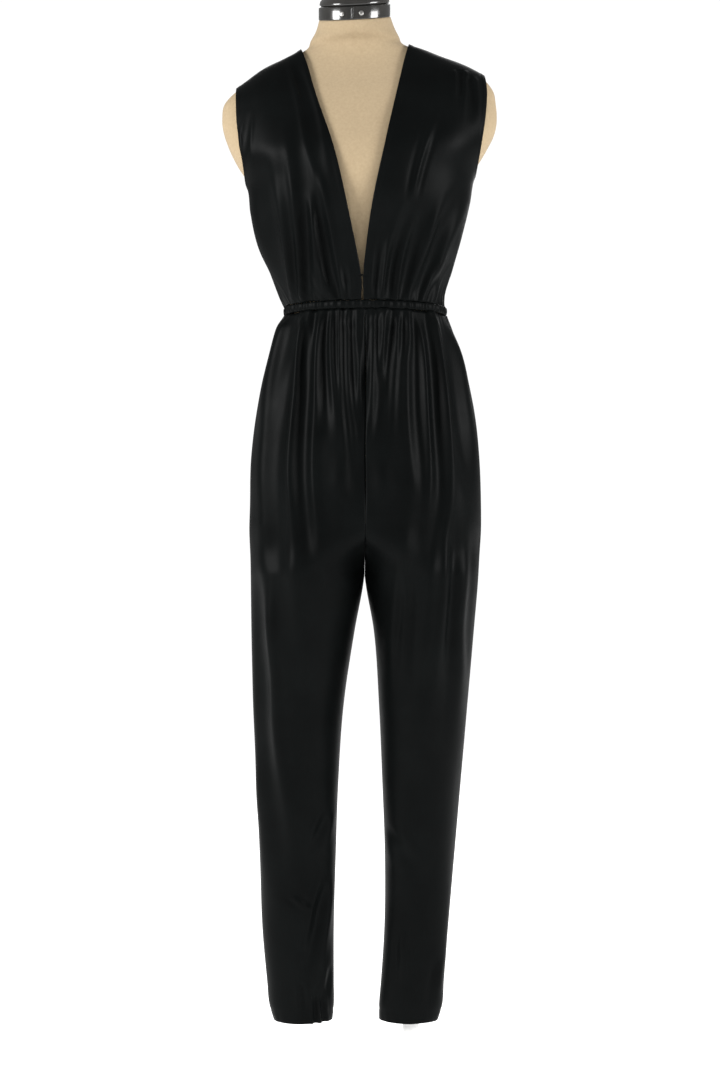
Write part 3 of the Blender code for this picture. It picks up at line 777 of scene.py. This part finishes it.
@dataclass
class Trousers(Cloth):
    """The four trouser panels."""

    hem: float = 150.0
    crotch: float = 832.0
    crotch_curve_top: float = 912.0
    columns: int = 120
    rows: int = 280
    hem_turn: float = 16.0

    def point(self, side: int, facing: Facing, share: Array, height: Array) -> Array:
        """Point of a panel.

        Args:
            side: -1 for the wearer's right, 1 for the left.
            facing: front or back.
            share: 0 at the side seam, 1 at the centre or inseam.
            height: heights.

        Returns:
            Points in millimetres.
        """
        name = "left" if side > 0 else "right"
        outer = read_table(LEGS, "outer_" + name, height)
        inner = read_table(LEGS, "inner_" + name, height)
        hip = np.maximum(height, self.crotch)
        centre = SHAPE.point(np.zeros(hip.shape), hip)[..., 0]
        inner = np.where(height > self.crotch, centre, inner)
        leg_x = outer + (inner - outer) * (1 - np.cos(math.pi * share)) / 2
        body_x = SHAPE.point(side * math.pi / 2 * (1 - share), hip)[..., 0]
        upper = read_table(BODY, facing.value, hip)
        depth = np.where(height > self.crotch, upper, read_table(LEGS, facing.value, height))
        under = 1 - smooth_step(self.crotch, self.crotch_curve_top, height)
        square = read_table(BODY, "square", hip) * (1 - under)
        peak = 1 - 0.5 * under
        past_peak = under * (share - peak) / np.maximum(1 - peak, 0.001)
        rise = np.where(share > peak, 1 - past_peak, share / peak) * math.pi / 2
        x = body_x * (1 - under) + leg_x * under
        y = depth * (np.sin(rise) + square * np.sin(3 * rise)) / (1 - square)
        return np.stack([x, y, height + 0.0 * x], axis=-1)

    def walls(self, side: int, facing: Facing, folds: tuple[Fold, ...]) -> list[Array]:
        """Outer and inner points of a panel, with folds, gathers and the turned hem."""
        top = self.casing_low - self.seam_gap
        share, height = np.meshgrid(np.linspace(0, 1, self.columns), np.linspace(top, self.hem, self.rows))
        base = self.point(side, facing, share, height)
        across = self.point(side, facing, share + 0.002, height)
        across = across - self.point(side, facing, share - 0.002, height)
        down = self.point(side, facing, share, height - 1) - self.point(side, facing, share, height + 1)
        normals = unit(np.cross(across, down)) * (side if facing is Facing.FRONT else -side)
        seam_share = smooth_step(0.0, 0.16, share) * (1 - smooth_step(0.74, 1.0, share))
        above = smooth_step(self.crotch_curve_top, self.crotch_curve_top + 60, height)
        seam_share = np.maximum(seam_share, above * smooth_step(0.0, 0.16, share))
        x = base[..., 0]
        lift = relief(folds, base) * self.held_at_waist(height) + 2.2 * soft_wrinkles(x + 40 * side, height)
        lift = lift * seam_share
        around = share * 190.0 * side
        lift = lift + gathers(around, height, self.casing_low, 30.0, 1.1)
        lift = lift + gathers(around * 0.6, height, self.hem, 22.0, 0.35) * seam_share
        hem_line = np.exp(-(((height - self.hem - self.hem_turn) / 1.6) ** 2))
        seam_line = np.exp(-((share * 170.0 / 1.5) ** 2))
        lift = lift - 0.5 * hem_line - 0.7 * seam_line
        outside, inside = self.settle(base, normals, lift)
        shift = np.array([side, -1.0 if facing is Facing.FRONT else 1.0, 0.0]) * self.seam_gap / 2
        return [outside + shift, inside + shift]

    def build(self) -> None:
        for side in Side:
            for facing, folds in ((Facing.FRONT, TROUSER_FRONT_FOLDS), (Facing.BACK, TROUSER_BACK_FOLDS)):
                name = "trouser_" + facing.value + "_" + side.word
                walls = self.walls(side.value, facing, folds)
                piece = declare(mesh_piece(name + "_cloth", walls, False, self.material), "cloth", name)


@dataclass
class WaistCasing(Cloth):
    """The narrow gathered casing of the elastic, with the small tack of the V above it."""

    segments: int = 900
    tack_height: float = 1279.0
    depth: float = 4.6

    def build(self) -> None:
        turn = np.linspace(0, 2 * math.pi, self.segments, endpoint=False)
        middle = np.full(turn.shape, (self.casing_low + self.casing_high) / 2)
        profile = [(0.6, 0.0), (1.6, 0.12), (2.3, 0.35), (2.4, 0.6), (1.8, 0.85), (0.8, 1.0)]
        profile += [(-self.depth, 1.0), (-self.depth, 0.0)]
        rings = []
        for out, share in profile:
            around = turn * 120.0
            pucker = 0.9 * (np.sin(around / 1.7) + 0.8 * np.sin(around / 2.6 + 1.0)) * (out > 0) * 0.6
            ring = SHAPE.point(turn, middle, -(out + pucker))
            wander = 0.8 * np.sin(around / 3.1) * math.sin(math.pi * share)
            ring[:, 2] = self.casing_low + share * (self.casing_high - self.casing_low) + wander
            rings.append(ring)
        grid = np.stack(rings + rings[:1])
        piece = self.ring_piece(grid)
        self.build_tack()

    def ring_piece(self, grid: Array) -> bpy.types.Object:
        """Join the casing's rings into one closed tube round the waist."""
        rows, columns = grid.shape[0] - 1, grid.shape[1]
        index = np.arange(rows * columns).reshape(rows, columns)
        index = np.concatenate([index, index[:1]], axis=0)
        index = np.concatenate([index, index[:, :1]], axis=1)
        quads = np.stack([index[:-1, :-1], index[:-1, 1:], index[1:, 1:], index[1:, :-1]], -1)
        mesh = bpy.data.meshes.new("waist_casing_cloth")
        mesh.from_pydata((grid[:-1].reshape(-1, 3) * MM).tolist(), [], quads.reshape(-1, 4).tolist())
        mesh.update()
        mesh.shade_smooth()
        piece = bpy.data.objects.new("waist_casing_cloth", mesh)
        bpy.context.collection.objects.link(piece)
        mesh.materials.append(self.material)
        return declare(piece, "cloth", "waist_casing")

    def build_tack(self) -> None:
        """The small bar of thread that holds the V's edges together."""
        turn = SHAPE.turn_at(4.3, self.tack_height)
        centre = SHAPE.point(np.array([turn]), np.array([self.tack_height]))[0]
        rings = []
        for step in np.linspace(-1, 1, 13):
            thick = 0.9 * math.sqrt(max(0.05, 1 - step**4))
            angle = np.linspace(0, 2 * math.pi, 12, endpoint=False)
            x = np.full(angle.shape, centre[0] + 4.2 * step)
            y = centre[1] - 0.9 - thick * np.cos(angle)
            z = self.tack_height + thick * 1.5 * np.sin(angle) + 0.3 * np.sin(9 * step)
            rings.append(np.stack([x, y, z], axis=-1))
        declare(mesh_piece("neck_tack", [np.stack(rings)], True, self.material), "cloth")


@dataclass
class Form:
    """The form's linen cover, its centre seam, the neck band, the cap and the band's overlapped end."""

    linen: bpy.types.Material
    gloss: bpy.types.Material
    steel: bpy.types.Material
    bottom: float = 912.0
    neck_top: float = 1692.0
    segments: int = 220
    band_height: float = 20.0
    cap_height: float = 26.0
    cap_radius: float = 52.0
    seam_x: float = -5.0
    seam_depth: float = 0.8
    seam_width: float = 1.6
    overlap_start: float = -12.5
    overlap_end: float = -9.5
    overlap_outer: float = 2.0
    overlap_inner: float = 1.35

    def ring(self, height: float, inset: float = 0.0) -> Array:
        """One ring of the form's surface, with a fine groove at the centre-front seam."""
        turn = np.linspace(0, 2 * math.pi, self.segments, endpoint=False)
        level = np.full(turn.shape, float(height))
        ease = read_table(BODY, "ease", level) + inset
        points = SHAPE.point(turn, level, ease)
        away = np.minimum(np.abs(points[:, 0] - self.seam_x), 50.0)
        groove = self.seam_depth * np.exp(-((away / self.seam_width) ** 2)) * (np.cos(turn) > 0)
        points[:, 1] = points[:, 1] + groove
        return SHAPE.lean(points)

    def neck_ring(self, rise: float, proud: float) -> Array:
        """A ring over the neck's top, raised by rise and wider by proud."""
        ring = self.ring(self.neck_top, -proud)
        ring[:, 2] = ring[:, 2] + rise
        return ring

    def build(self) -> None:
        heights = np.concatenate([np.linspace(920, 1440, 90), np.linspace(1444, self.neck_top, 100)])
        rings = [self.ring(self.bottom, 10.0), self.ring(self.bottom + 3, 3.0)]
        rings += [self.ring(height) for height in heights]
        declare(mesh_piece("form_cover", [np.stack(rings)], True, self.linen), "linen", "dress_form")
        low, high = 0.3, 0.3 + self.band_height
        band = [(low, -1.0), (low, 0.6), (low + 0.5, 1.1), (low + 1.4, 1.3), (high - 1.4, 1.3)]
        band += [(high - 0.5, 1.1), (high, 0.6), (high, -1.0)]
        rings = [self.neck_ring(rise, proud) for rise, proud in band]
        declare(mesh_piece("neck_band_metal", [np.stack(rings)], True, self.gloss), "cap", "neck_band")
        base = high + 0.3
        dome = [(base, -2.0), (base + 1.5, -2.0), (base + 1.8, -0.6), (base + 2.5, 0.0)]
        for step in np.linspace(0, 1, 24)[1:-1]:
            rise = base + 2.5 + (self.cap_height - 2.5) * math.sin(math.pi / 2 * step)
            dome.append((rise + 1.0, -self.cap_radius * (1 - math.cos(math.pi / 2 * step))))
        rings = [self.neck_ring(rise, proud) for rise, proud in dome]
        declare(mesh_piece("neck_cap_dome", [np.stack(rings)], True, self.gloss), "cap", "neck_cap")
        self.build_overlap()

    def build_overlap(self) -> None:
        """The band's overlapped end: a thin strip that stands up from the band at the front."""
        outer, inner = [], []
        for share in np.linspace(0, 1, 12):
            z = 1.5 + share * (self.band_height - 2.5)
            for grid, lift in ((outer, self.overlap_outer), (inner, self.overlap_inner)):
                row = []
                for x in np.linspace(self.overlap_start, self.overlap_end, 6):
                    point = self.neck_front(float(x))
                    edge = 0.5 * math.exp(-(((x - self.overlap_start) / 0.6) ** 2))
                    row.append(point + np.array([0.0, -lift + edge * (lift - self.overlap_inner), z]))
                grid.append(row)
        walls = [np.array(outer), np.array(inner)]
        declare(mesh_piece("band_overlap", walls, False, self.gloss), "cap")

    def neck_front(self, x: float) -> Array:
        """Point on the front of the neck's top ring at x."""
        ring = self.ring(self.neck_top)
        front = ring[ring[:, 1] < 8.0]
        order = np.argsort(front[:, 0])
        front = front[order]
        return np.array([x] + [np.interp(x, front[:, 0], front[:, axis]) for axis in (1, 2)])


@dataclass
class Studio:
    """Camera, soft lights and the pale floor."""

    eye: tuple = (1.0, -2600.0, 893.0)
    focal: float = 56.75
    sensor: float = 36.0
    ambient: float = 0.32
    backdrop: float = 1.05
    aim: tuple = (0.0, 0.0, 1.0)
    lamps: tuple = (
        ("key_left", (-3.0, -1.7, 2.3), 1.4, 150.0),
        ("key_right", (3.0, -1.4, 2.0), 1.4, 110.0),
        ("back_light", (0.4, 3.0, 2.8), 2.6, 40.0),
    )

    def build(self) -> None:
        """Place the camera, the floor and the lights."""
        camera = bpy.data.objects.new("camera", bpy.data.cameras.new("camera"))
        bpy.context.collection.objects.link(camera)
        camera.location = [value * MM for value in self.eye]
        camera.rotation_euler = (math.pi / 2, 0.0, 0.0)
        camera.data.lens = self.focal
        camera.data.sensor_width = self.sensor
        camera.data.clip_end = 60.0
        bpy.context.scene.camera = camera
        self.floor()
        for name, place, size, power in self.lamps:
            self.lamp(name, place, size, power)
        world = bpy.data.worlds.new("studio")
        world.use_nodes = True
        sky = world.node_tree.nodes["Background"]
        sky.inputs["Color"].default_value = (1.0, 1.0, 1.0, 1.0)
        path = world.node_tree.nodes.new("ShaderNodeLightPath")
        span = world.node_tree.nodes.new("ShaderNodeMapRange")
        span.inputs["To Min"].default_value = self.ambient
        span.inputs["To Max"].default_value = self.backdrop
        world.node_tree.links.new(path.outputs["Is Camera Ray"], span.inputs["Value"])
        world.node_tree.links.new(span.outputs["Result"], sky.inputs["Strength"])
        bpy.context.scene.world = world
        bpy.context.scene.view_settings.view_transform = "Standard"

    def floor(self) -> None:
        """A wide pale floor."""
        bpy.ops.mesh.primitive_plane_add(size=24.0, location=(0.0, 0.0, 0.0))
        floor = bpy.context.object
        floor.name = "studio_floor"
        nodes = NodeSet("studio floor")
        nodes.blend_colours(nodes.noise(3.0), (0.86, 0.86, 0.86), (0.88, 0.88, 0.88))
        nodes.constant(Roughness=0.9, Emission_Strength=0.75)
        nodes.shader.inputs["Emission Color"].default_value = (1.0, 1.0, 1.0, 1.0)
        floor.data.materials.append(nodes.material)

    def lamp(self, name: str, place: tuple, size: float, power: float) -> None:
        """A square soft light aimed at the middle of the form."""
        lamp = bpy.data.objects.new(name, bpy.data.lights.new(name, "AREA"))
        bpy.context.collection.objects.link(lamp)
        lamp.data.size = size
        lamp.data.energy = power
        lamp.location = place
        aim = Vector(self.aim) - Vector(place)
        lamp.rotation_euler = aim.to_track_quat("-Z", "Y").to_euler()


def dress_nodes(finishes: dict[str, bpy.types.Material], frame: dict) -> None:
    """Give each node of the model that stays its own finish."""
    for name, finish in finishes.items():
        node = frame["nodes"][name]
        node.data.materials.clear()
        node.data.materials.append(finish)


def main() -> None:
    """Build every sub-assembly in order."""
    logging.basicConfig(level=logging.INFO, format="%(message)s")
    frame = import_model()
    Studio().build()
    jersey = SatinJersey().material()
    enamel = WhiteEnamel().material()
    steel = BrightSteel().material()
    Form(LinenCover().material(), GlossBlack().material(), steel).build()
    Bodice(jersey).build()
    WaistCasing(jersey).build()
    Trousers(jersey).build()
    stand = ("form_collar", "stand_pole", "pole_socket", "stand_base")
    dress_nodes({name: enamel for name in stand}, frame)
    dress_nodes({name: steel for name in ("band_rivet_1", "band_rivet_2")}, frame)


if __name__ == "__main__":
    main()
